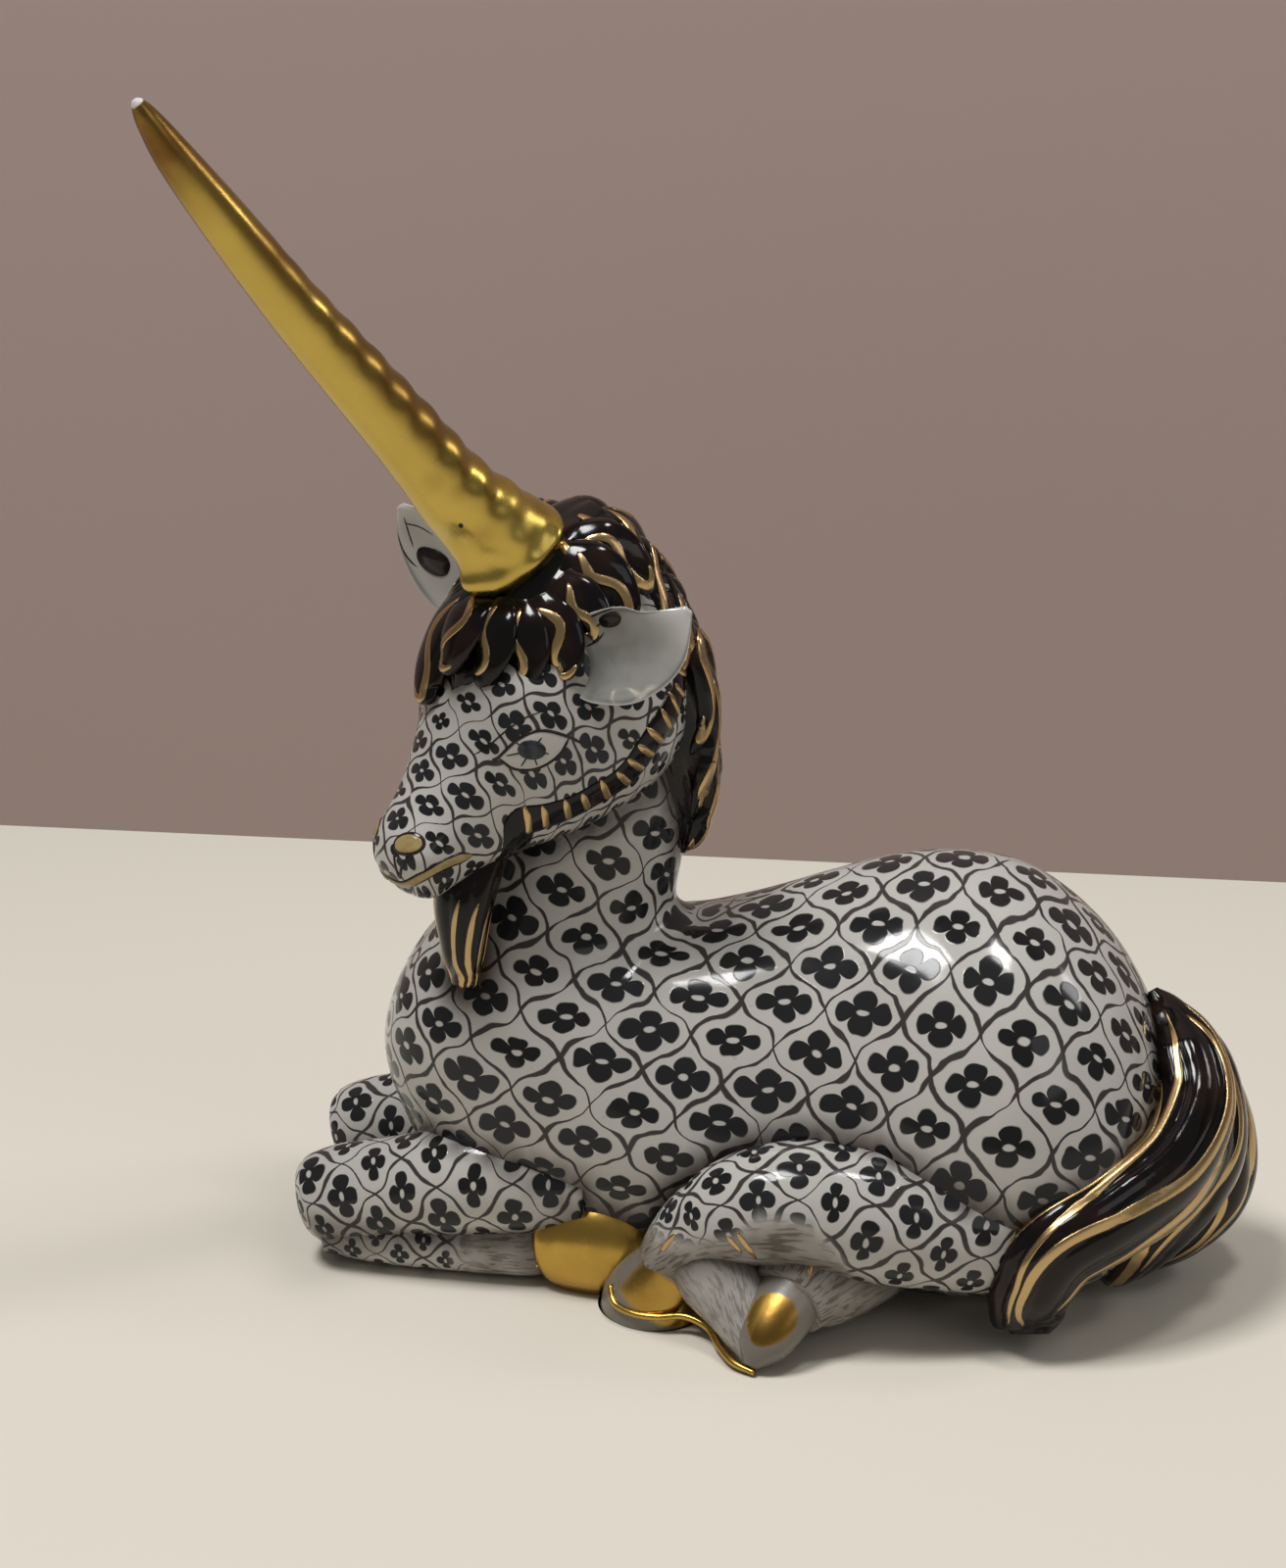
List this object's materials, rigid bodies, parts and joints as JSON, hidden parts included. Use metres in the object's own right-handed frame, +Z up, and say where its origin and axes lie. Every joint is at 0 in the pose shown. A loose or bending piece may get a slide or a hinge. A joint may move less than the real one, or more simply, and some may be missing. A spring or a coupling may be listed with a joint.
{
  "type": "unicorn figurine",
  "caption": "Lying porcelain unicorn with folded legs, turned head, long gilded horn, black mane and swept tail.",
  "frame": {"origin": "on the table plane, in the middle of the trunk's length, on the trunk's middle plane", "axes": "-X towards the head and knees, -Y to the animal's left side, +Z up"},
  "size_m": [0.1152, 0.0641, 0.1333],
  "materials": {
    "white_glaze": "glossy white glaze with a painted black trellis",
    "black_glaze": "glossy black glaze with gold strokes",
    "gilding": "burnished gold over glaze"
  },
  "bodies": {
    "root": {"trunk": "white_glaze", "neck": "white_glaze", "head": "white_glaze", "ear_left": "white_glaze", "ear_right": "white_glaze", "foreleg_left": "white_glaze", "foreleg_right": "white_glaze", "hind_leg_left": "white_glaze", "hind_leg_right": "white_glaze", "horn": "gilding", "fore_hoof_left": "gilding", "fore_hoof_right": "gilding", "hind_hoof_left": "gilding", "hind_hoof_right": "gilding", "mane": "black_glaze", "forelock": "black_glaze", "beard": "black_glaze", "tail": "black_glaze"}
  },
  "joints": []
}
